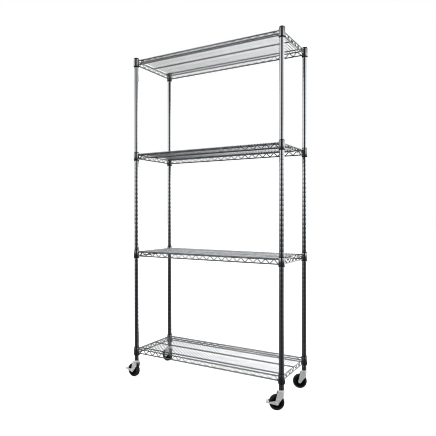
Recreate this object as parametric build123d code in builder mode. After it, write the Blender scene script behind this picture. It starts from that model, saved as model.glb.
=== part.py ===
from build123d import *
import math
import os

# Wire shelving rack on four swivel casters, in millimetres.
# +X runs along the long side, +Y to the back, +Z up; the floor is z = 0.
# Everything is drawn about the centre of the four posts and moved at the end,
# so that the origin is the centre of the whole footprint on the floor.

os.makedirs("parts", exist_ok=True)

# ---- posts ----
post_spacing_x = 932.0  # between post axes along the long side
post_spacing_y = 335.0  # between post axes front to back
post_radius = 12.7
post_wall = 1.2
post_bottom = 101.0
post_top = 1908.6
post_plain_end = 12.0  # least plain length above the last groove
groove_pitch = 25.4
groove_width = 2.4
groove_depth = 0.5
cap_brim = 0.4  # how far a cap stands out past its post
cap_height = 3.0
cap_round = 1.8
cap_plug_length = 14.0
edge_break = 1.0  # chamfer on the ends of round pieces
socket_flange = 1.0
socket_depth = 32.0
fixed_fit = 0.02  # radial gap of parts that stay together
loose_fit = 0.05  # radial gap of parts that turn or push in
stem_fit = 0.1

# ---- shelves ----
first_shelf = 155.6
shelf_heights = {  # height of each shelf's collar centre above the floor
    "bottom": first_shelf,
    "lower": first_shelf + 23 * groove_pitch,
    "upper": first_shelf + 46 * groove_pitch,
    "top": first_shelf + 68 * groove_pitch,
}
collar_height = 45.0
collar_wall = 1.7
collar_edge = 0.6
sleeve_height = 50.0
sleeve_top_radius = 13.8
sleeve_bottom_radius = 14.9
sleeve_lip_radius = 15.6
sleeve_lip_height = 1.6
sleeve_slit = 0.8
sleeve_waist = 0.05  # how far the taper's outline is hollowed between its ends
sleeve_bands = 6
rib_tip = 0.6  # half the width of the sleeve's rib at its tip
rib_root = 1.1
lift_gap = 0.3  # radial gap between a collar and the sleeve inside it

rail_radius = 2.75
zigzag_radius = 1.9
deck_radius = 1.7
weld_sink = 0.3  # how far welded wires sink into each other
rail_end_weld = 1.0  # how far a rail's end runs into the collar's wall
top_rail_rise = 11.0  # above the collar centre
bottom_rail_drop = 12.0  # below the collar centre
long_waves = 19
short_waves = 6
wave_pitch_long = 46.94
wave_pitch_short = 47.5
bend_radius = 5.0
deck_wires = 56
deck_span = 888.0
inner_rod_inset = 36.0

# ---- casters ----
wheel_radius = 38.1
wheel_width = 24.0
tyre_shoulder = 4.5
tyre_shoulder_width = 3.2
shoulder_bulge = (0.3, 0.45)  # where its arc passes, as shares across and down
tread_crown = 0.8  # how much the tread falls away from its middle
core_radius = 28.0
hub_radius = 10.0
hub_gap = 0.4  # between the hub's end and the fork
hub_flare = 2.0
web_root = 4.0  # half the web's thickness at the hub
web_tip = 3.2  # and at the rim
rim_inset = 1.0  # of the rim's edges from the tyre's sides
rim_edge = 3.5  # thickness of the rim at its edges
rim_middle = 5.5
caster_lead = 24.0
fork_gap = 28.0  # between the inner faces of the fork's legs
fork_plate = 2.4
crown_bottom = 90.2
crown_radius = 17.5
crown_skirt = 12.0  # depth of the fork's side under the crown, at the front
crown_back_drop = 4.0
leg_end_radius = 10.0
leg_front_share = 0.94  # where the front edge runs into the rounded end
axle_radius = 4.0
axle_across_flats = 13.0
axle_head = 5.0
axle_tail = 3.0
axle_edge = 0.6
bushing_radius = 6.0
ball_radius = 1.5
ball_count = 14
ball_circle = 11.6
ball_seat = 0.5  # how deep the balls sit in the crown
kingpin_radius = 5.0
kingpin_head_radius = 8.0
kingpin_head = 1.7
kingpin_head_round = 1.2
stem_radius = 5.5
stem_top = 128.6
cup_gap = 0.9  # between the crown and the flat floor of the cup
cup_rim_drop = 0.4
cup_overhang = 0.6
cup_flat = 6.0
cup_lip = 1.4  # thickness of the cup's rim
cup_lip_slope = 0.4
cup_top = 96.8
hex_height = 3.2
hex_across_flats = 17.0
pedal_gap = 0.2
pedal_plate = 1.5
pedal_reach = 12.0
pedal_rise = 6.0  # height of the pedal's tread above the axle
pedal_ear_radius = 11.5
pedal_arm_depth = 8.0
pedal_lip = 4.0  # depth of the pedal's sides at its outer end
pedal_slope = 1.5  # how far the tread climbs to its outer end
tyre_clearance = 4.0
beyond = 1.0  # how far cutting bodies run past what they cut

# direction in which each caster trails, in degrees from +X
caster_headings = {
    "front_left": 175.0,
    "back_left": 168.0,
    "front_right": 205.0,
    "back_right": 200.0,
}
braked_casters = ("front_left", "front_right")

# ---- worked out from them ----
corners = {
    "front_left": (-post_spacing_x / 2, -post_spacing_y / 2),
    "back_left": (-post_spacing_x / 2, post_spacing_y / 2),
    "front_right": (post_spacing_x / 2, -post_spacing_y / 2),
    "back_right": (post_spacing_x / 2, post_spacing_y / 2),
}
post_bore = post_radius - post_wall
crown_top = crown_bottom + fork_plate
ball_height = crown_top - ball_seat + ball_radius
fork_half = fork_gap / 2 + fork_plate
pedal_inner_half = fork_half + pedal_gap
pedal_outer_half = pedal_inner_half + pedal_plate
axle_place = (caster_lead, wheel_radius)
axle_line = Axis((caster_lead, 0, wheel_radius), (0, 1, 0))
pieces = {}


def keep(name, part):
    """Holds a finished piece under the name of its node."""
    pieces[name] = part


def at_corner(part, corner, turn=0.0, height=0.0):
    """A copy of a piece drawn on the Z axis, stood at one corner of the rack."""
    x, y = corners[corner]
    with BuildPart() as placed:
        with Locations(Location((x, y, height), (0, 0, turn))):
            add(part)
    return placed.part


def at_all_corners(part, height=0.0):
    """One group of four equal pieces, one at each corner."""
    with BuildPart() as group:
        for corner in corners:
            add(at_corner(part, corner, height=height))
    return group.part


# ---- posts: grooved steel tubes ----
def make_post():
    first_groove = shelf_heights["bottom"] - groove_pitch
    groove_count = int((post_top - post_plain_end - first_groove) // groove_pitch) + 1
    floor_radius = post_radius - groove_depth
    outline = [(post_bore, post_bottom), (post_radius, post_bottom)]
    for i in range(groove_count):
        z = first_groove + i * groove_pitch
        outline.append((post_radius, z - groove_width / 2))
        outline.append((floor_radius, z - groove_width / 2 + groove_depth))
        outline.append((floor_radius, z + groove_width / 2 - groove_depth))
        outline.append((post_radius, z + groove_width / 2))
    outline.append((post_radius, post_top))
    outline.append((post_bore, post_top))
    with BuildPart() as post:
        with BuildSketch(Plane.XZ):
            with BuildLine():
                Polyline(*outline, close=True)
            make_face()
        revolve(axis=Axis.Z)
    return post.part


def make_post_cap():
    with BuildPart() as cap:
        with BuildSketch(Plane.XY.offset(post_top)):
            Circle(post_radius + cap_brim)
        extrude(amount=cap_height)
        fillet(cap.edges().group_by(Axis.Z)[-1], radius=cap_round)
        with BuildSketch(Plane.XY.offset(post_top)):
            Circle(post_bore - loose_fit)
        extrude(amount=-cap_plug_length)
        chamfer(cap.edges().group_by(Axis.Z)[0], length=edge_break)
    return cap.part


def make_stem_socket():
    """Threaded socket pressed into the foot of a post."""
    with BuildPart() as socket:
        with BuildSketch(Plane.XY.offset(post_bottom - socket_flange)):
            Circle(post_radius)
        extrude(amount=socket_flange)
        with BuildSketch(Plane.XY.offset(post_bottom)):
            Circle(post_bore - fixed_fit)
        extrude(amount=socket_depth)
        with BuildSketch(Plane.XY.offset(post_bottom - socket_flange)):
            Circle(stem_radius + stem_fit)
        extrude(amount=socket_flange + socket_depth + beyond, mode=Mode.SUBTRACT)
        chamfer(socket.edges().group_by(Axis.Z)[-1], length=edge_break)
    return socket.part


# ---- split sleeves and collars, drawn about the collar centre ----
def sleeve_radius_at(z):
    share = (z + sleeve_height / 2) / sleeve_height
    return sleeve_bottom_radius + (sleeve_top_radius - sleeve_bottom_radius) * share


def make_sleeve_halves():
    """Two plastic half sleeves; a rib inside them sits in the post's groove."""
    bore = post_radius + fixed_fit
    rib = post_radius - groove_depth + loose_fit
    foot = -sleeve_height / 2
    lip_top = foot + sleeve_lip_height
    outline = [(bore, foot), (sleeve_lip_radius, foot), (sleeve_lip_radius, lip_top)]
    for i in range(sleeve_bands + 1):
        z = lip_top + (-foot - lip_top) * i / sleeve_bands
        hollow = sleeve_waist * math.sin(math.pi * i / sleeve_bands)
        outline.append((sleeve_radius_at(z) - hollow, z))
    outline += [(bore, -foot), (bore, rib_root), (rib, rib_tip), (rib, -rib_tip), (bore, -rib_root)]
    with BuildPart() as sleeve:
        with BuildSketch(Plane.XZ):
            with BuildLine():
                Polyline(*outline, close=True)
            make_face()
        revolve(axis=Axis.Z)
        with BuildSketch(Plane.XY.offset(foot)):
            Rectangle(4 * post_radius, sleeve_slit)
        extrude(amount=sleeve_height, mode=Mode.SUBTRACT)
    return sleeve.part


def make_collar():
    """Welded shelf collar with a tapered bore that wedges down over the sleeve."""
    low = -collar_height / 2
    high = collar_height / 2
    with BuildPart() as collar:
        with BuildSketch(Plane.XZ):
            with BuildLine():
                Polyline(
                    (sleeve_radius_at(low) + lift_gap, low),
                    (sleeve_radius_at(low) + lift_gap + collar_wall, low),
                    (sleeve_radius_at(high) + lift_gap + collar_wall, high),
                    (sleeve_radius_at(high) + lift_gap, high),
                    close=True,
                )
            make_face()
        revolve(axis=Axis.Z)
        for end in (0, -1):
            outer_edge = collar.edges().group_by(Axis.Z)[end].sort_by(SortBy.LENGTH)[-1]
            fillet(outer_edge, radius=collar_edge)
    return collar.part


# ---- shelf wires, drawn about the height of the collar centre ----
def make_rails():
    """Straight wires: two rails on each of the four sides and three rods under the deck."""
    reach = sleeve_radius_at(0) + lift_gap + collar_wall - rail_end_weld
    long_length = post_spacing_x - 2 * reach
    short_length = post_spacing_y - 2 * reach
    rod_length = post_spacing_x - 2 * rail_radius
    rod_row = post_spacing_y / 2 - inner_rod_inset
    with BuildPart() as rails:
        for z in (top_rail_rise, -bottom_rail_drop):
            with BuildSketch(Plane.YZ.offset(-long_length / 2)):
                with Locations((-post_spacing_y / 2, z), (post_spacing_y / 2, z)):
                    Circle(rail_radius)
            extrude(amount=long_length)
            with BuildSketch(Plane.XZ.offset(-short_length / 2)):
                with Locations((-post_spacing_x / 2, z), (post_spacing_x / 2, z)):
                    Circle(rail_radius)
            extrude(amount=short_length)
        with BuildSketch(Plane.YZ.offset(-rod_length / 2)):
            with Locations((-rod_row, top_rail_rise), (0, top_rail_rise), (rod_row, top_rail_rise)):
                Circle(rail_radius)
        extrude(amount=rod_length)
    return rails.part


def make_zigzag(plane, waves, pitch):
    """One bent wire that runs up and down between a side's two rails."""
    points = []
    for i in range(2 * waves + 1):
        height = -bottom_rail_drop if i % 2 == 0 else top_rail_rise
        points.append(((i - waves) * pitch / 2, height))
    with BuildPart() as wire:
        with BuildLine(plane) as path:
            FilletPolyline(*points, radius=bend_radius)
        with BuildSketch(Plane(origin=path.line @ 0, z_dir=path.line % 0)):
            Circle(zigzag_radius)
        sweep(path=path.line)
    return wire.part


def make_zigzags():
    """The four bent wires of a shelf, on the inner side of its rails."""
    inset = rail_radius + zigzag_radius - weld_sink
    front = Plane.XZ.offset(post_spacing_y / 2 - inset)
    side = Plane.YZ.offset(post_spacing_x / 2 - inset)
    with BuildPart() as zigzags:
        add(make_zigzag(front, long_waves, wave_pitch_long))
        mirror(about=Plane.XZ)
        add(make_zigzag(side, short_waves, wave_pitch_short))
        mirror(about=Plane.YZ)
    return zigzags.part


def make_deck():
    """Close front-to-back wires, welded on top of the rails and rods."""
    wire_height = top_rail_rise + rail_radius + deck_radius - weld_sink
    wire_length = post_spacing_y + 2 * deck_radius
    with BuildPart() as deck:
        with BuildSketch(Plane.XZ.offset(-wire_length / 2)):
            with Locations((0, wire_height)):
                with GridLocations(deck_span / (deck_wires - 1), 1, deck_wires, 1):
                    Circle(deck_radius)
        extrude(amount=wire_length)
    return deck.part


# ---- casters, drawn on the Z axis and trailing towards +X ----
def make_raceway_cup():
    """Fixed upper half of the swivel bearing, with a domed top."""
    bore = kingpin_radius + loose_fit
    groove = ball_radius + lift_gap
    floor = crown_top + cup_gap
    rim = floor - cup_rim_drop
    half_width = math.sqrt(groove**2 - (floor - ball_height) ** 2)
    with BuildPart() as cup:
        with BuildSketch(Plane.XZ):
            with BuildLine():
                Polyline((bore, floor), (bore, cup_top), (crown_radius - cup_flat, cup_top))
                Spline(
                    (crown_radius - cup_flat, cup_top),
                    (crown_radius + cup_overhang, rim),
                    tangents=((1, 0), (0.1, -1)),
                )
                Polyline(
                    (crown_radius + cup_overhang, rim),
                    (crown_radius + cup_overhang - cup_lip, rim),
                    (crown_radius + cup_overhang - cup_lip - cup_lip_slope, floor),
                    (ball_circle + half_width, floor),
                )
                ThreePointArc(
                    (ball_circle + half_width, floor),
                    (ball_circle, ball_height + groove),
                    (ball_circle - half_width, floor),
                )
                Line((ball_circle - half_width, floor), (bore, floor))
            make_face()
        revolve(axis=Axis.Z)
    return cup.part


def make_stem():
    """Kingpin, hexagon and screwed stem in one piece."""
    head_bottom = crown_bottom - kingpin_head - stem_fit
    pin_bottom = head_bottom + kingpin_head - stem_fit
    with BuildPart() as stem:
        with BuildSketch(Plane.XY.offset(head_bottom)):
            Circle(kingpin_head_radius)
        extrude(amount=kingpin_head)
        fillet(stem.edges().group_by(Axis.Z)[0], radius=kingpin_head_round)
        with BuildSketch(Plane.XY.offset(pin_bottom)):
            Circle(kingpin_radius)
        extrude(amount=cup_top - pin_bottom)
        with BuildSketch(Plane.XY.offset(cup_top)):
            RegularPolygon(radius=hex_across_flats / 2, side_count=6, major_radius=False)
        extrude(amount=hex_height)
        with BuildSketch(Plane.XY.offset(cup_top + hex_height)):
            Circle(stem_radius)
        extrude(amount=stem_top - cup_top - hex_height)
        chamfer(stem.edges().group_by(Axis.Z)[-1], length=edge_break)
    return stem.part


def make_balls():
    """Ring of loose bearing balls between the fork's crown and the cup."""
    with BuildPart() as balls:
        with Locations(Plane.XY.offset(ball_height)):
            with PolarLocations(ball_circle, ball_count):
                Sphere(ball_radius)
    return balls.part


def make_fork():
    """Pressed steel fork: a round crown, a sloping back and two tapering legs."""
    groove_radius = ball_radius + loose_fit
    leg_side = leg_end_radius * leg_front_share
    leg_drop = math.sqrt(leg_end_radius**2 - leg_side**2)
    front_low = (-crown_radius, crown_bottom - crown_skirt)
    leg_front = (caster_lead - leg_side, wheel_radius - leg_drop)
    leg_back = (caster_lead + leg_end_radius, wheel_radius)
    with BuildPart() as fork:
        with BuildSketch(Plane.XZ.offset(-fork_half)):
            with BuildLine():
                Polyline((-crown_radius, crown_top), front_low, leg_front)
                ThreePointArc(leg_front, (caster_lead, wheel_radius - leg_end_radius), leg_back)
                Polyline(
                    leg_back,
                    (crown_radius + crown_back_drop, crown_bottom - crown_back_drop),
                    (crown_radius, crown_top),
                    (-crown_radius, crown_top),
                )
            make_face()
        extrude(amount=2 * fork_half)
        with BuildSketch(Plane.XZ.offset(-fork_gap / 2)):
            with Locations((0, crown_bottom)):
                Rectangle(4 * wheel_radius, crown_bottom, align=(Align.CENTER, Align.MAX))
        extrude(amount=fork_gap, mode=Mode.SUBTRACT)
        with BuildSketch():
            Circle(crown_radius)
            with Locations((caster_lead, 0)):
                Rectangle(2 * caster_lead, 2 * fork_half)
        extrude(amount=crown_top, mode=Mode.INTERSECT)
        with BuildSketch(Plane.XZ.offset(-fork_half - beyond)):
            with Locations(axle_place):
                Circle(axle_radius + stem_fit)
        extrude(amount=2 * fork_half + 2 * beyond, mode=Mode.SUBTRACT)
        with BuildSketch(Plane.XY.offset(crown_bottom - beyond)):
            Circle(kingpin_radius + loose_fit)
        extrude(amount=fork_plate + 2 * beyond, mode=Mode.SUBTRACT)
        with BuildSketch(Plane.XZ):
            with Locations((ball_circle, crown_top - ball_seat + groove_radius)):
                Circle(groove_radius)
        revolve(axis=Axis.Z, mode=Mode.SUBTRACT)
    return fork.part


def make_axle(half_grip):
    """Axle bolt and its nut; half_grip is from the wheel's middle to the bolt's head."""
    with BuildPart() as bolt:
        with BuildSketch(Plane.XZ.offset(-half_grip)):
            with Locations(axle_place):
                RegularPolygon(radius=axle_across_flats / 2, side_count=6, major_radius=False)
        extrude(amount=-axle_head)
        chamfer(bolt.edges().group_by(Axis.Y)[-1], length=axle_edge)
        with BuildSketch(Plane.XZ.offset(-half_grip)):
            with Locations(axle_place):
                Circle(axle_radius)
        extrude(amount=2 * half_grip + axle_head + axle_tail)
        chamfer(bolt.edges().group_by(Axis.Y)[0], length=axle_edge)
    with BuildPart() as nut:
        with BuildSketch(Plane.XZ.offset(half_grip)):
            with Locations(axle_place):
                RegularPolygon(radius=axle_across_flats / 2, side_count=6, major_radius=False)
                Circle(axle_radius + fixed_fit, mode=Mode.SUBTRACT)
        extrude(amount=axle_head)
    with BuildPart() as pair:
        add(bolt.part)
        add(nut.part)
    return pair.part


def make_bushing():
    """Tube clamped between the fork's legs, on which the wheel turns."""
    with BuildPart() as bushing:
        with BuildSketch(Plane.XZ.offset(-fork_gap / 2)):
            with Locations(axle_place):
                Circle(bushing_radius)
                Circle(axle_radius + stem_fit, mode=Mode.SUBTRACT)
        extrude(amount=fork_gap)
    return bushing.part


def make_wheel_core():
    """Moulded hub, web and rim; turned about the axle's line."""
    bore = bushing_radius + loose_fit
    half_hub = fork_gap / 2 - hub_gap
    half_rim = wheel_width / 2 - rim_inset
    half_section = [
        (half_hub, bore),
        (half_hub, hub_radius),
        (web_root, hub_radius + hub_flare),
        (web_tip, core_radius - rim_middle),
        (half_rim, core_radius - rim_edge),
        (half_rim, core_radius),
    ]
    outline = [(-y, wheel_radius + r) for y, r in half_section]
    outline += [(y, wheel_radius + r) for y, r in reversed(half_section)]
    with BuildPart() as core:
        with BuildSketch(Plane.YZ.offset(caster_lead)):
            with BuildLine():
                Polyline(*outline, close=True)
            make_face()
        revolve(axis=axle_line)
    return core.part


def make_tyre():
    """Solid rubber tyre with a gently crowned tread and rounded shoulders."""
    half = wheel_width / 2
    seat = wheel_radius + core_radius
    top = 2 * wheel_radius
    side_top = top - tyre_shoulder
    tread_half = half - tyre_shoulder_width
    tread_edge = top - tread_crown
    bulge_y = half - shoulder_bulge[0] * tyre_shoulder_width
    bulge_z = top - shoulder_bulge[1] * tyre_shoulder
    with BuildPart() as tyre:
        with BuildSketch(Plane.YZ.offset(caster_lead)):
            with BuildLine():
                Polyline((-half, side_top), (-half, seat), (half, seat), (half, side_top))
                ThreePointArc((half, side_top), (bulge_y, bulge_z), (tread_half, tread_edge))
                ThreePointArc((tread_half, tread_edge), (0, top), (-tread_half, tread_edge))
                ThreePointArc((-tread_half, tread_edge), (-bulge_y, bulge_z), (-half, side_top))
            make_face()
        revolve(axis=axle_line)
    return tyre.part


def make_brake_pedal():
    """Pedal that hangs on the axle outside the fork and reaches past the tyre."""
    plate_start = caster_lead + wheel_radius + tyre_clearance
    plate_end = plate_start + pedal_reach
    arm_end = plate_start - tyre_clearance
    top = wheel_radius + pedal_rise
    tip = top + pedal_slope
    above = 2 * wheel_radius
    slope = pedal_slope / (plate_end - arm_end)
    under_start = top + slope * tyre_clearance - pedal_plate
    under_end = tip + slope * beyond - pedal_plate
    with BuildPart() as pedal:
        with BuildSketch(Plane.XZ.offset(-pedal_outer_half)):
            with Locations(axle_place):
                Circle(pedal_ear_radius)
            with BuildLine():
                Polyline(
                    (caster_lead, wheel_radius - pedal_ear_radius),
                    (caster_lead, wheel_radius + pedal_ear_radius),
                    (arm_end, top),
                    (plate_end, tip),
                    (plate_end, tip - pedal_lip),
                    (arm_end, top - pedal_arm_depth),
                    close=True,
                )
            make_face()
        extrude(amount=2 * pedal_outer_half)
        with BuildSketch(Plane.XZ.offset(-pedal_inner_half)):
            with BuildLine():
                Polyline(
                    (0, 0),
                    (0, above),
                    (plate_start, above),
                    (plate_start, under_start),
                    (plate_end + beyond, under_end),
                    (plate_end + beyond, 0),
                    close=True,
                )
            make_face()
        extrude(amount=2 * pedal_inner_half, mode=Mode.SUBTRACT)
        with BuildSketch(Plane.XZ.offset(-pedal_outer_half - beyond)):
            with Locations(axle_place):
                Circle(axle_radius + loose_fit)
        extrude(amount=2 * pedal_outer_half + 2 * beyond, mode=Mode.SUBTRACT)
    return pedal.part


# ---- put every piece in its place ----
post = make_post()
cup = make_raceway_cup()
for corner in corners:
    keep(f"post_{corner}", at_corner(post, corner))
    keep(f"raceway_cup_{corner}", at_corner(cup, corner))
keep("post_caps", at_all_corners(make_post_cap()))
keep("stem_sockets", at_all_corners(make_stem_socket()))
keep("caster_stems", at_all_corners(make_stem()))

sleeve_halves = make_sleeve_halves()
collar = make_collar()
shelf_wires = {"rails": make_rails(), "zigzags": make_zigzags(), "deck": make_deck()}
for shelf, height in shelf_heights.items():
    keep(f"{shelf}_shelf_sleeves", at_all_corners(sleeve_halves, height))
    keep(f"{shelf}_shelf_collars", at_all_corners(collar, height))
    for wires, part in shelf_wires.items():
        with BuildPart() as raised:
            with Locations((0, 0, height)):
                add(part)
        keep(f"{shelf}_shelf_{wires}", raised.part)

caster_pieces = {
    "fork": make_fork(),
    "bearing_balls": make_balls(),
    "bushing": make_bushing(),
    "wheel_core": make_wheel_core(),
    "tyre": make_tyre(),
}
plain_axle = make_axle(fork_half)
braked_axle = make_axle(pedal_outer_half + pedal_gap)
brake_pedal = make_brake_pedal()
for corner, heading in caster_headings.items():
    for piece, part in caster_pieces.items():
        keep(f"{piece}_{corner}", at_corner(part, corner, heading))
    if corner in braked_casters:
        keep(f"axle_{corner}", at_corner(braked_axle, corner, heading))
        keep(f"brake_pedal_{corner}", at_corner(brake_pedal, corner, heading))
    else:
        keep(f"axle_{corner}", at_corner(plain_axle, corner, heading))

# ---- move the rack so that the origin is the middle of its footprint ----
boxes = [part.bounding_box() for part in pieces.values()]
shift_x = -(min(box.min.X for box in boxes) + max(box.max.X for box in boxes)) / 2
shift_y = -(min(box.min.Y for box in boxes) + max(box.max.Y for box in boxes)) / 2
print("shift", round(shift_x, 3), round(shift_y, 3))
print("height", round(max(box.max.Z for box in boxes), 3))
for name, part in pieces.items():
    with BuildPart() as piece:
        with Locations((shift_x, shift_y, 0)):
            add(part)
    piece.part.label = name
    export_step(piece.part, f"parts/{name}.step")
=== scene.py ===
import math

import bpy
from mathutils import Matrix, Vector


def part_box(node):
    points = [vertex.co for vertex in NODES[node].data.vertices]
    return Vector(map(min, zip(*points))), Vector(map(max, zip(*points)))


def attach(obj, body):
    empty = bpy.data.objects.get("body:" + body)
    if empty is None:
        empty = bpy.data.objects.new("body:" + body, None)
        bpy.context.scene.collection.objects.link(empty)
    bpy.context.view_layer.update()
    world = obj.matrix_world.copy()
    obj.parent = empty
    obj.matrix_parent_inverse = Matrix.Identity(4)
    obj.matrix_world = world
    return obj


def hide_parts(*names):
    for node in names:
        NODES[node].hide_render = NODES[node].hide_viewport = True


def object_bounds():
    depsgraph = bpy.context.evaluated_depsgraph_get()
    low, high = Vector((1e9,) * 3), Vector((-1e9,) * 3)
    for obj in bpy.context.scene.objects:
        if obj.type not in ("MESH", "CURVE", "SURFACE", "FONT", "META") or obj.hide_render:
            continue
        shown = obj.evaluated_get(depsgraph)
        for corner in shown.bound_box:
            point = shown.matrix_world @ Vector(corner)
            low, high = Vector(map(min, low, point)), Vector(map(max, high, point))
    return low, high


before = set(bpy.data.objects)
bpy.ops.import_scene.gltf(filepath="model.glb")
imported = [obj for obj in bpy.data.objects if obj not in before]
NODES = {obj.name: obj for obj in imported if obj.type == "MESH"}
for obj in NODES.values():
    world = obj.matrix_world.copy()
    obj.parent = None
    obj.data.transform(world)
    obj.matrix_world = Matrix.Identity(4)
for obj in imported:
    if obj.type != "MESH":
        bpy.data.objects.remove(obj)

CAD_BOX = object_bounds()
MM = 0.001

CORNERS = ("front_left", "back_left", "front_right", "back_right")
SHELVES = ("bottom", "lower", "upper", "top")

# ---------------------------------------------------------------- sizes that no CAD box gives

EDGE_EASE = 0.3 * MM  # eased edges of tubes, sockets and cap brims
TURNED_SEGMENTS = 48

# Posts.
GROOVE_PITCH = 25.4 * MM
GROOVE_WIDTH = 2.4 * MM
GROOVE_DEPTH = 0.5 * MM
GROOVE_SOFTNESS = 0.25  # the share of the pressed depth that still shows in the plating
GROOVE_STEPS = (-1, -0.66, -0.33, 0, 0.33, 0.66, 1)  # from edge to edge of a groove
PLAIN_TOP = 12 * MM  # no groove this close under a post's upper end
POST_WALL = 1.2 * MM

# Caps on the posts.
CAP_AXIS = 0.4 * MM  # the turned outline stops this far from the axis
CAP_PLUG_FOOT = 2.2 * MM  # how far inside the post's radius the plug is at its foot
CAP_PLUG_SIDE = 1.3 * MM  # and along its side
CAP_PLUG_CHAMFER = 1.0 * MM
CAP_BRIM = 0.4 * MM  # how far the brim stands out from the post
CAP_BRIM_HEIGHT = 0.8 * MM
CAP_CROWN_INSET = 4 * MM  # how far the crown has drawn in at its top
CAP_CROWN_STEPS = 6

# Sockets in the feet of the posts.
SOCKET_BORE = 5.6 * MM
SOCKET_CLEARANCE = 0.02 * MM
SOCKET_CHAMFER = 0.8 * MM

# Sleeves and collars, as (radius, height over the foot or the head) in millimetres.
SLEEVE_HALF = 25 * MM
SLEEVE_FOOT = ((15.3, 0.0), (15.6, 0.3), (15.6, 1.3), (15.3, 1.6), (14.86, 1.6))
SLEEVE_HEAD = ((13.9, -0.4), (13.6, 0.0))
SLEEVE_CLEARANCE = 0.02 * MM
SLIT_ANGLE = math.asin(0.4 / 14.4)  # half the slit over the sleeve's mean radius
COLLAR_HALF = 22.5 * MM
COLLAR_FOOT = ((15.17, 0.0), (16.2, 0.0), (16.65, 0.2), (16.83, 0.7))
COLLAR_HEAD = ((15.88, -0.7), (15.7, -0.2), (15.25, 0.0), (14.2, 0.0))
COLLAR_SEGMENTS = 56

# Wires of the shelves.
RAIL_RADIUS = 2.75 * MM
RAIL_END = 15.5 * MM  # where a rail meets its collar, from the post's axis
RAIL_SEGMENTS = 20
ROD_INSET = 36.0 * MM
BEAD_PLACE = 16.2 * MM
BEAD_THICKNESS = 0.8 * MM
ZIGZAG_RADIUS = 1.9 * MM
BEND_RADIUS = 5.0 * MM
LONG_WAVES = 19
LONG_PITCH = 46.94 * MM
SHORT_WAVES = 6
SHORT_PITCH = 47.5 * MM
DECK_RADIUS = 1.7 * MM
DECK_WIRES = 56
DECK_SEGMENTS = 12

# ---------------------------------------------------------------- studio

# What the plating mirrors. By height: from straight down (0) through the horizon (0.5) to
# straight up (1). Round the horizon: by compass angle from +X, in degrees.
HEIGHT_TONES = (
    (0.0, 0.15),
    (0.30, 0.12),
    (0.42, 0.15),
    (0.468, 0.25),
    (0.505, 0.49),
    (0.548, 0.75),
    (0.6, 0.75),
    (0.7, 0.71),
    (0.85, 0.56),
    (1.0, 0.64),
)
ROUND_TONES = (
    (-180, 0.70),
    (-130, 0.95),
    (-106, 0.85),
    (-96, 0.05),
    (-48, 0.05),
    (-38, 1.00),
    (12, 1.00),
    (35, 0.55),
    (60, 0.45),
    (110, 0.45),
    (150, 0.65),
    (180, 0.60),
)
LEAST_TONE = 0.068
# The lit backdrop behind the rack, which the decks mirror at a grazing angle.
BACKDROP_ROUND = ((20, 0.0), (36, 1.0), (126, 1.0), (142, 0.0))
BACKDROP_HEIGHT = ((0.30, 0.0), (0.40, 1.0), (0.62, 1.0), (0.80, 0.2))
MIRROR_STRENGTH = 1.8

FLOOR_REACH = 30.0
FLOOR_DROP = 0.0002
FLOOR_TONES = ((0.3, 0.44), (0.7, 0.46))
FLOOR_GLOW = 0.71

# Name, place and size in metres, and watts.
LAMPS = (
    ("key", (-2.2, -2.6, 3.2), (1.6, 2.4), 60),
    ("fill", (2.8, -1.2, 2.6), (1.2, 2.2), 35),
)

# The camera: metres to the right, back and up from the middle of the posts at the bottom
# shelf's height, degrees of turn from looking straight back, and of tilt from straight down.
CAMERA_OFFSET = (1.332, -2.299, 0.8255)
CAMERA_TURN = 30.06
CAMERA_TILT = 90 - 0.54
CAMERA_SENSOR = 36.0
CAMERA_LENS = 37.73
DISPLAY_GAMMA = 0.62
PIXEL_FILTER = 1.0


# ---------------------------------------------------------------- mesh helpers


def circle(middle, side, other, radius, segments):
    """Points round a middle, in the plane of two directions at right angles."""
    ring = []
    for j in range(segments):
        t = 2 * math.pi * j / segments
        ring.append(tuple(middle + side * (radius * math.cos(t)) + other * (radius * math.sin(t))))
    return ring


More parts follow.
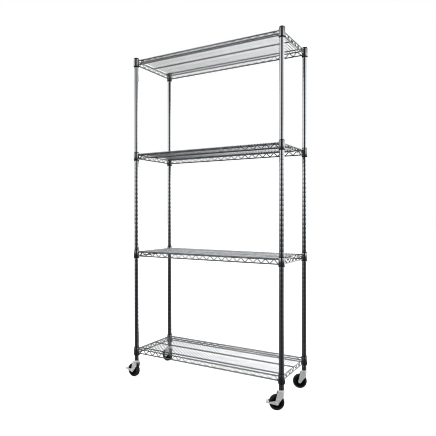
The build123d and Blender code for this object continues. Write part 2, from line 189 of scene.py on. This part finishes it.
class Shape:
    """Collects rings and tubes, and makes one smooth-shaded object of them."""

    def __init__(self):
        self.points = []
        self.faces = []

    def rings(self, rings, close_ends=True, close_loop=False):
        """Joins rings of equally many points into a tube."""
        start = len(self.points)
        count = len(rings[0])
        for ring in rings:
            self.points.extend(ring)
        steps = len(rings) if close_loop else len(rings) - 1
        for i in range(steps):
            low = start + i * count
            high = start + ((i + 1) % len(rings)) * count
            for j in range(count):
                k = (j + 1) % count
                self.faces.append((low + j, low + k, high + k, high + j))
        if close_ends and not close_loop:
            self.faces.append(tuple(reversed(range(start, start + count))))
            last = start + (len(rings) - 1) * count
            self.faces.append(tuple(range(last, last + count)))

    def lathe(self, centre, outline, segments=TURNED_SEGMENTS, closed=True):
        """Turns an outline of (radius, height) round the upright line through centre."""
        rings = []
        for radius, height in outline:
            ring = []
            for j in range(segments):
                a = 2 * math.pi * j / segments
                x = centre.x + radius * math.cos(a)
                y = centre.y + radius * math.sin(a)
                ring.append((x, y, height))
            rings.append(ring)
        self.rings(rings, close_ends=not closed, close_loop=closed)

    def shell_part(self, centre, outline, start, end, segments=24):
        """Part of a turned ring, from one angle to another, with its two cut faces."""
        rings = []
        for j in range(segments + 1):
            a = start + (end - start) * j / segments
            ca, sa = math.cos(a), math.sin(a)
            rings.append([(centre.x + r * ca, centre.y + r * sa, z) for r, z in outline])
        self.rings(rings)

    def rod(self, a, b, radius, segments=RAIL_SEGMENTS, rounding=0.35):
        """A straight wire whose ends are eased, as cut and plated wire is."""
        a, b = Vector(a), Vector(b)
        along = (b - a).normalized()
        side = along.orthogonal().normalized()
        other = along.cross(side)
        length = (b - a).length
        ease = radius * rounding
        cuts = (
            (0, radius - ease),
            (ease, radius),
            (length - ease, radius),
            (length, radius - ease),
        )
        self.rings([circle(a + along * at, side, other, r, segments) for at, r in cuts])

    def bent(self, path, normal, radius, segments=14):
        """A wire that follows a path lying in one plane with this normal."""
        normal = Vector(normal).normalized()
        rings = []
        for i, point in enumerate(path):
            before = path[max(i - 1, 0)]
            after = path[min(i + 1, len(path) - 1)]
            along = (after - before).normalized()
            side = normal.cross(along).normalized()
            rings.append(circle(point, side, normal, radius, segments))
        self.rings(rings)

    def bead(self, centre, axis, radius, thickness, segments=20, round_steps=6):
        """A weld bead: a small ring round a wire."""
        axis = Vector(axis).normalized()
        side = axis.orthogonal().normalized()
        other = axis.cross(side)
        rings = []
        for j in range(segments):
            t = 2 * math.pi * j / segments
            out = side * math.cos(t) + other * math.sin(t)
            rings.append(circle(centre + out * radius, out, axis, thickness, round_steps))
        self.rings(rings, close_loop=True)

    def make(self, name, material, body, nodes, sharp=35.0):
        mesh = bpy.data.meshes.new(name)
        mesh.from_pydata(self.points, [], self.faces)
        mesh.update()
        mesh.validate()
        mesh.polygons.foreach_set("use_smooth", [True] * len(mesh.polygons))
        mesh.set_sharp_from_angle(angle=math.radians(sharp))
        mesh.materials.append(material)
        obj = bpy.data.objects.new(name, mesh)
        bpy.context.scene.collection.objects.link(obj)
        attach(obj, body)
        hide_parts(*nodes)


def bends(points, radius, steps=5):
    """The path through these points with its corners rounded to this radius."""
    path = [points[0]]
    for before, corner, after in zip(points, points[1:], points[2:]):
        inward = (before - corner).normalized()
        onward = (after - corner).normalized()
        half = inward.angle(onward) / 2
        middle = corner + (inward + onward).normalized() * (radius / math.sin(half))
        start = corner + inward * (radius / math.tan(half))
        end = corner + onward * (radius / math.tan(half))
        a, b = (start - middle).normalized(), (end - middle).normalized()
        for k in range(steps + 1):
            path.append(middle + a.slerp(b, k / steps) * radius)
    path.append(points[-1])
    return path


# ---------------------------------------------------------------- materials


class Nodes:
    """A short way to add shader nodes and link them."""

    def __init__(self, tree):
        self.tree = tree

    def add(self, kind, **values):
        """Adds a node: in_NAME sets that input, any other name a property of the node."""
        node = self.tree.nodes.new(kind)
        for key, value in values.items():
            if key.startswith("in_"):
                node.inputs[key[3:].replace("_", " ")].default_value = value
            else:
                setattr(node, key, value)
        return node

    def link(self, a, b):
        self.tree.links.new(a, b)


def new_material(name):
    material = bpy.data.materials.new(name)
    material.use_nodes = True
    material.node_tree.nodes.clear()
    n = Nodes(material.node_tree)
    shader = n.add("ShaderNodeBsdfPrincipled")
    out = n.add("ShaderNodeOutputMaterial")
    n.link(shader.outputs[0], out.inputs[0])
    return material, n, shader


def ramp(n, source, stops):
    """A colour ramp on source; each stop is a place and a grey or a colour."""
    node = n.add("ShaderNodeValToRGB")
    elements = node.color_ramp.elements
    while len(elements) < len(stops):
        elements.new(0.5)
    for element, (place, value) in zip(elements, stops):
        element.position = place
        colour = value if isinstance(value, tuple) else (value, value, value)
        element.color = (*colour, 1)
    n.link(source, node.inputs[0])
    return node.outputs[0]


def noise(n, scale, detail=3.0, stretch=(1, 1, 1), roughness=0.5):
    where = n.add("ShaderNodeTexCoord")
    mapping = n.add("ShaderNodeMapping")
    mapping.inputs["Scale"].default_value = stretch
    texture = n.add("ShaderNodeTexNoise", in_Scale=scale, in_Detail=detail, in_Roughness=roughness)
    n.link(where.outputs["Object"], mapping.inputs["Vector"])
    n.link(mapping.outputs[0], texture.inputs["Vector"])
    return texture.outputs["Fac"]


def bump(n, shader, height, strength, distance):
    node = n.add("ShaderNodeBump", in_Strength=strength, in_Distance=distance)
    n.link(height, node.inputs["Height"])
    n.link(node.outputs[0], shader.inputs["Normal"])


def chrome(name, low, high, rough_low, rough_high, stretch=(1, 1, 1)):
    """Nickel-chrome plate: faint clouding, drawn streaks and a fine ripple."""
    material, n, shader = new_material(name)
    shader.inputs["Metallic"].default_value = 1.0
    cloud = noise(n, scale=38.0, detail=4.0, stretch=stretch)
    n.link(ramp(n, cloud, ((0.3, low), (0.7, high))), shader.inputs["Base Color"])
    haze = noise(n, scale=120.0, detail=3.0, stretch=stretch, roughness=0.6)
    n.link(ramp(n, haze, ((0.3, rough_low), (0.75, rough_high))), shader.inputs["Roughness"])
    ripple = noise(n, scale=260.0, detail=2.0, stretch=stretch)
    bump(n, shader, ripple, strength=0.06, distance=0.0004)
    return material


def zinc(name):
    """Bright zinc on pressed steel: spangled tone, rubbed brighter in patches."""
    material, n, shader = new_material(name)
    shader.inputs["Metallic"].default_value = 0.45
    cloud = noise(n, scale=160.0, detail=5.0, roughness=0.6)
    tones = ((0.3, (0.78, 0.79, 0.80)), (0.7, (0.95, 0.95, 0.94)))
    n.link(ramp(n, cloud, tones), shader.inputs["Base Color"])
    scuff = noise(n, scale=420.0, detail=4.0, stretch=(1, 1, 0.3), roughness=0.65)
    n.link(ramp(n, scuff, ((0.3, 0.24), (0.8, 0.44))), shader.inputs["Roughness"])
    bump(n, shader, scuff, strength=0.1, distance=0.0003)
    return material


def rubber(name):
    """Black tyre rubber: matt, with moulding grain and dusty lighter scuffs."""
    material, n, shader = new_material(name)
    cloud = noise(n, scale=90.0, detail=6.0, roughness=0.7)
    tones = ((0.35, (0.038, 0.038, 0.040)), (0.75, (0.080, 0.079, 0.077)))
    n.link(ramp(n, cloud, tones), shader.inputs["Base Color"])
    grain = noise(n, scale=1500.0, detail=2.0)
    n.link(ramp(n, cloud, ((0.3, 0.42), (0.8, 0.62))), shader.inputs["Roughness"])
    bump(n, shader, grain, strength=0.25, distance=0.0002)
    return material


def plastic(name, dark, light, rough_low, rough_high):
    """Moulded black plastic with a fine spark-eroded grain."""
    material, n, shader = new_material(name)
    cloud = noise(n, scale=60.0, detail=4.0)
    n.link(ramp(n, cloud, ((0.35, dark), (0.7, light))), shader.inputs["Base Color"])
    n.link(ramp(n, cloud, ((0.3, rough_low), (0.7, rough_high))), shader.inputs["Roughness"])
    grain = noise(n, scale=2200.0, detail=2.0)
    bump(n, shader, grain, strength=0.15, distance=0.0001)
    return material


CHROME_TUBE = chrome(
    "chrome_tube",
    low=(0.55, 0.56, 0.58),
    high=(0.68, 0.69, 0.70),
    rough_low=0.05,
    rough_high=0.13,
    stretch=(1, 1, 0.06),
)
# Rails and zigzags: the posts' plating with its tone set darker, as painted shade for the darker
# reflections on the thin wires.
CHROME_WIRE_PAINTED_SHADE = chrome(
    "chrome_wire_painted_shade",
    low=(0.34, 0.35, 0.36),
    high=(0.52, 0.53, 0.54),
    rough_low=0.10,
    rough_high=0.22,
)
# Deck wires: the posts' plating with its tone set darker, as painted shade.
CHROME_DECK_PAINTED_SHADE = chrome(
    "chrome_deck_painted_shade",
    low=(0.42, 0.43, 0.44),
    high=(0.60, 0.61, 0.62),
    rough_low=0.10,
    rough_high=0.22,
)
# Collars: the posts' plating with its tone set darker, as painted shade.
CHROME_COLLAR_PAINTED_SHADE = chrome(
    "chrome_collar_painted_shade",
    low=(0.36, 0.37, 0.38),
    high=(0.52, 0.53, 0.54),
    rough_low=0.08,
    rough_high=0.18,
    stretch=(1, 1, 0.5),
)
ZINC = zinc("bright_zinc")
RUBBER = rubber("tyre_rubber")
PLASTIC = plastic("black_plastic", dark=0.012, light=0.022, rough_low=0.32, rough_high=0.48)
HUB_PLASTIC = plastic("hub_plastic", dark=0.016, light=0.03, rough_low=0.35, rough_high=0.5)


# ---------------------------------------------------------------- places taken from the frame


def middle_of(node):
    low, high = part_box(node)
    return (low + high) / 2


POST = {corner: middle_of(f"post_{corner}") for corner in CORNERS}
POST_LOW, POST_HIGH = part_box("post_front_left")
POST_RADIUS = (POST_HIGH.x - POST_LOW.x) / 2
CENTRE = sum(POST.values(), Vector()) / 4
HEIGHT = {shelf: middle_of(f"{shelf}_shelf_collars").z for shelf in SHELVES}


def outline_at(table, height):
    """The (radius, height) points of a table in millimetres, set at a height in metres."""
    return [(radius * MM, height + rise * MM) for radius, rise in table]


# ---------------------------------------------------------------- posts, caps and sockets


def make_post(corner):
    low, high = POST_LOW.z, POST_HIGH.z
    groove_count = int((high - low) / GROOVE_PITCH) + 2
    bore = POST_RADIUS - POST_WALL
    half = GROOVE_WIDTH / 2
    outline = [(bore, low), (POST_RADIUS - EDGE_EASE, low), (POST_RADIUS, low + EDGE_EASE)]
    first = HEIGHT["bottom"] - GROOVE_PITCH
    for i in range(groove_count):
        z = first + i * GROOVE_PITCH
        if z > high - PLAIN_TOP:
            break
        for step in GROOVE_STEPS:
            depth = GROOVE_DEPTH * GROOVE_SOFTNESS * (1 + math.cos(math.pi * step)) / 2
            outline.append((POST_RADIUS - depth, z + half * step))
    outline += [(POST_RADIUS, high - EDGE_EASE), (POST_RADIUS - EDGE_EASE, high), (bore, high)]
    shape = Shape()
    shape.lathe(POST[corner], outline)
    name = f"post_tube_{corner}"
    shape.make(name, CHROME_TUBE, "frame", [f"post_{corner}"], sharp=30)


def make_caps():
    low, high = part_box("post_caps")
    brim = POST_RADIUS + CAP_BRIM
    plug = POST_RADIUS - CAP_PLUG_SIDE
    seat = POST_HIGH.z
    crown_foot = seat + CAP_BRIM_HEIGHT
    outline = [
        (CAP_AXIS, low.z),
        (POST_RADIUS - CAP_PLUG_FOOT, low.z),
        (plug, low.z + CAP_PLUG_CHAMFER),
        (plug, seat),
        (brim - EDGE_EASE, seat),
        (brim, seat + EDGE_EASE),
    ]
    for k in range(CAP_CROWN_STEPS + 1):
        a = math.pi / 2 * k / CAP_CROWN_STEPS
        radius = brim - CAP_CROWN_INSET * (1 - math.cos(a))
        outline.append((radius, crown_foot + (high.z - crown_foot) * math.sin(a)))
    outline.append((CAP_AXIS, high.z))
    shape = Shape()
    for place in POST.values():
        shape.lathe(place, outline, closed=False)
    shape.make("post_cap_set", PLASTIC, "frame", ["post_caps"])


def make_sockets():
    low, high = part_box("stem_sockets")
    plug = POST_RADIUS - POST_WALL - SOCKET_CLEARANCE
    outline = [
        (SOCKET_BORE, low.z),
        (POST_RADIUS - EDGE_EASE, low.z),
        (POST_RADIUS, low.z + EDGE_EASE),
        (POST_RADIUS, POST_LOW.z),
        (plug, POST_LOW.z),
        (plug, high.z - SOCKET_CHAMFER),
        (plug - SOCKET_CHAMFER, high.z),
        (SOCKET_BORE, high.z),
    ]
    shape = Shape()
    for place in POST.values():
        shape.lathe(place, outline)
    shape.make("stem_socket_set", ZINC, "frame", ["stem_sockets"])


for corner in CORNERS:
    make_post(corner)
make_caps()
make_sockets()


# ---------------------------------------------------------------- shelves


def make_sleeves(shelf):
    foot, head = HEIGHT[shelf] - SLEEVE_HALF, HEIGHT[shelf] + SLEEVE_HALF
    bore = POST_RADIUS + SLEEVE_CLEARANCE
    outline = outline_at(SLEEVE_FOOT, foot) + outline_at(SLEEVE_HEAD, head)
    outline = [(bore, foot), *outline, (bore, head)]
    shape = Shape()
    for place in POST.values():
        for start in (0.0, math.pi):
            shape.shell_part(place, outline, start + SLIT_ANGLE, start + math.pi - SLIT_ANGLE)
    name = f"{shelf}_sleeve_set"
    shape.make(name, PLASTIC, "frame", [f"{shelf}_shelf_sleeves"])


def make_collars(shelf):
    foot, head = HEIGHT[shelf] - COLLAR_HALF, HEIGHT[shelf] + COLLAR_HALF
    outline = outline_at(COLLAR_FOOT, foot) + outline_at(COLLAR_HEAD, head)
    shape = Shape()
    for place in POST.values():
        shape.lathe(place, outline, COLLAR_SEGMENTS)
    name, body = f"{shelf}_collar_set", f"{shelf}_shelf"
    shape.make(name, CHROME_COLLAR_PAINTED_SHADE, body, [f"{shelf}_shelf_collars"], sharp=40)


def make_rails(shelf):
    """Rails round the edge, rods under the deck, and the weld beads at the collars."""
    node = f"{shelf}_shelf_rails"
    low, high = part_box(node)
    upper, lower = high.z - RAIL_RADIUS, low.z + RAIL_RADIUS
    left, right = POST["front_left"].x, POST["front_right"].x
    front, back = POST["front_left"].y, POST["back_left"].y
    shape = Shape()
    for z in (upper, lower):
        for y in (front, back):
            shape.rod((left + RAIL_END, y, z), (right - RAIL_END, y, z), RAIL_RADIUS)
            for x in (left + BEAD_PLACE, right - BEAD_PLACE):
                shape.bead(Vector((x, y, z)), (1, 0, 0), RAIL_RADIUS, BEAD_THICKNESS)
        for x in (left, right):
            shape.rod((x, front + RAIL_END, z), (x, back - RAIL_END, z), RAIL_RADIUS)
            for y in (front + BEAD_PLACE, back - BEAD_PLACE):
                shape.bead(Vector((x, y, z)), (0, 1, 0), RAIL_RADIUS, BEAD_THICKNESS)
    for y in (front + ROD_INSET, CENTRE.y, back - ROD_INSET):
        shape.rod((left + RAIL_RADIUS, y, upper), (right - RAIL_RADIUS, y, upper), RAIL_RADIUS)
    shape.make(f"{shelf}_rail_set", CHROME_WIRE_PAINTED_SHADE, f"{shelf}_shelf", [node])


def make_zigzags(shelf):
    """The bent wires between the upper and lower rails, one on each side."""
    node = f"{shelf}_shelf_zigzags"
    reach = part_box(node)[1]
    rails_low, rails_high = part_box(f"{shelf}_shelf_rails")
    top, bottom = rails_high.z - RAIL_RADIUS, rails_low.z + RAIL_RADIUS
    along_x, along_y = Vector((1, 0, 0)), Vector((0, 1, 0))
    runs = (
        (along_x, along_y, reach.y - ZIGZAG_RADIUS - CENTRE.y, LONG_WAVES, LONG_PITCH),
        (along_y, along_x, reach.x - ZIGZAG_RADIUS - CENTRE.x, SHORT_WAVES, SHORT_PITCH),
    )
    shape = Shape()
    for along, across, inset, waves, pitch in runs:
        for side in (-1, 1):
            points = []
            for i in range(2 * waves + 1):
                place = CENTRE + along * ((i - waves) * pitch / 2) + across * (side * inset)
                place.z = bottom if i % 2 == 0 else top
                points.append(place)
            shape.bent(bends(points, BEND_RADIUS), across, ZIGZAG_RADIUS)
    shape.make(f"{shelf}_zigzag_set", CHROME_WIRE_PAINTED_SHADE, f"{shelf}_shelf", [node], sharp=60)


def make_deck(shelf):
    node = f"{shelf}_shelf_deck"
    low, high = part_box(node)
    z = high.z - DECK_RADIUS
    span = high.x - low.x - 2 * DECK_RADIUS
    shape = Shape()
    for i in range(DECK_WIRES):
        x = low.x + DECK_RADIUS + span * i / (DECK_WIRES - 1)
        shape.rod((x, low.y, z), (x, high.y, z), DECK_RADIUS, DECK_SEGMENTS)
    shape.make(f"{shelf}_deck_set", CHROME_DECK_PAINTED_SHADE, f"{shelf}_shelf", [node])


for shelf in SHELVES:
    make_sleeves(shelf)
    make_collars(shelf)
    make_rails(shelf)
    make_zigzags(shelf)
    make_deck(shelf)


# ---------------------------------------------------------------- casters keep their CAD shapes


def paint(node, material):
    obj = NODES[node]
    obj.data.materials.clear()
    obj.data.materials.append(material)


for corner in CORNERS:
    for piece in ("raceway_cup", "fork", "bearing_balls", "axle", "bushing"):
        paint(f"{piece}_{corner}", ZINC)
    paint(f"wheel_core_{corner}", HUB_PLASTIC)
    paint(f"tyre_{corner}", RUBBER)
for name in NODES:
    if name.startswith("brake_pedal"):
        paint(name, ZINC)
paint("caster_stems", ZINC)


# ---------------------------------------------------------------- floor, light and camera


def make_floor():
    mesh = bpy.data.meshes.new("floor")
    z = CAD_BOX[0][2] - FLOOR_DROP
    signs = ((-1, -1), (1, -1), (1, 1), (-1, 1))
    corners = [(x * FLOOR_REACH, y * FLOOR_REACH, z) for x, y in signs]
    mesh.from_pydata(corners, [], [(0, 1, 2, 3)])
    floor = bpy.data.objects.new("floor", mesh)
    bpy.context.scene.collection.objects.link(floor)
    material, n, shader = new_material("pale_floor")
    n.link(ramp(n, noise(n, scale=3.0), FLOOR_TONES), shader.inputs["Base Color"])
    shader.inputs["Roughness"].default_value = 0.9
    shader.inputs["Emission Color"].default_value = (1, 1, 1, 1)
    shader.inputs["Emission Strength"].default_value = FLOOR_GLOW
    mesh.materials.append(material)
    floor.visible_glossy = False


def mix(n, blend, a, b):
    """Two colours blended in full; b is a socket or a plain grey."""
    node = n.add("ShaderNodeMix", data_type="RGBA", blend_type=blend)
    node.inputs["Factor"].default_value = 1.0
    n.link(a, node.inputs["A"])
    if isinstance(b, float):
        node.inputs["B"].default_value = (b, b, b, 1)
    else:
        n.link(b, node.inputs["B"])
    return node.outputs["Result"]


def by_angle(table):
    """Ramp stops from a table that goes by compass angle."""
    return [((angle + 180) / 360, tone) for angle, tone in table]


def make_world():
    """White for the camera; the plated wires mirror a graded studio with dark flags."""
    world = bpy.data.worlds.new("studio")
    world.use_nodes = True
    world.node_tree.nodes.clear()
    n = Nodes(world.node_tree)
    where = n.add("ShaderNodeTexCoord")
    parts = n.add("ShaderNodeSeparateXYZ")
    n.link(where.outputs["Generated"], parts.inputs[0])

    height = n.add("ShaderNodeMath", operation="MULTIPLY_ADD")
    height.inputs[1].default_value = 0.5
    height.inputs[2].default_value = 0.5
    n.link(parts.outputs["Z"], height.inputs[0])

    angle = n.add("ShaderNodeMath", operation="ARCTAN2")
    n.link(parts.outputs["Y"], angle.inputs[0])
    n.link(parts.outputs["X"], angle.inputs[1])
    turn = n.add("ShaderNodeMapRange")
    turn.inputs["From Min"].default_value = -math.pi
    turn.inputs["From Max"].default_value = math.pi
    n.link(angle.outputs[0], turn.inputs["Value"])

    tall = ramp(n, height.outputs[0], HEIGHT_TONES)
    stripes = ramp(n, turn.outputs[0], by_angle(ROUND_TONES))
    studio = mix(n, "MULTIPLY", tall, stripes)
    wide = ramp(n, turn.outputs[0], by_angle(BACKDROP_ROUND))
    high = ramp(n, height.outputs[0], BACKDROP_HEIGHT)
    backdrop = mix(n, "MULTIPLY", wide, high)
    total = mix(n, "LIGHTEN", mix(n, "LIGHTEN", studio, backdrop), LEAST_TONE)

    path = n.add("ShaderNodeLightPath")
    mirror = n.add("ShaderNodeBackground", in_Strength=MIRROR_STRENGTH)
    n.link(total, mirror.inputs["Color"])
    plain = n.add("ShaderNodeBackground", in_Color=(1, 1, 1, 1), in_Strength=1.0)
    choose = n.add("ShaderNodeMixShader")
    n.link(path.outputs["Is Camera Ray"], choose.inputs[0])
    n.link(mirror.outputs[0], choose.inputs[1])
    n.link(plain.outputs[0], choose.inputs[2])
    out = n.add("ShaderNodeOutputWorld")
    n.link(choose.outputs[0], out.inputs[0])
    bpy.context.scene.world = world


def make_light(name, place, size, power):
    """A soft lamp turned to the rack, which the plating doesn't mirror."""
    data = bpy.data.lights.new(name, "AREA")
    data.shape = "RECTANGLE"
    data.size, data.size_y = size
    data.energy = power
    light = bpy.data.objects.new(name, data)
    light.location = place
    light.rotation_euler = (CENTRE - Vector(place)).to_track_quat("-Z", "Y").to_euler()
    light.visible_glossy = False
    bpy.context.scene.collection.objects.link(light)


def make_camera():
    data = bpy.data.cameras.new("camera")
    data.sensor_width = CAMERA_SENSOR
    data.lens = CAMERA_LENS
    camera = bpy.data.objects.new("camera", data)
    right, back, up = CAMERA_OFFSET
    camera.location = (CENTRE.x + right, CENTRE.y + back, HEIGHT["bottom"] + up)
    camera.rotation_euler = (math.radians(CAMERA_TILT), 0, math.radians(CAMERA_TURN))
    bpy.context.scene.collection.objects.link(camera)
    bpy.context.scene.camera = camera


make_floor()
make_world()
for lamp in LAMPS:
    make_light(*lamp)
make_camera()
bpy.context.scene.view_settings.view_transform = "Standard"
bpy.context.scene.view_settings.gamma = DISPLAY_GAMMA
bpy.context.scene.cycles.filter_width = PIXEL_FILTER
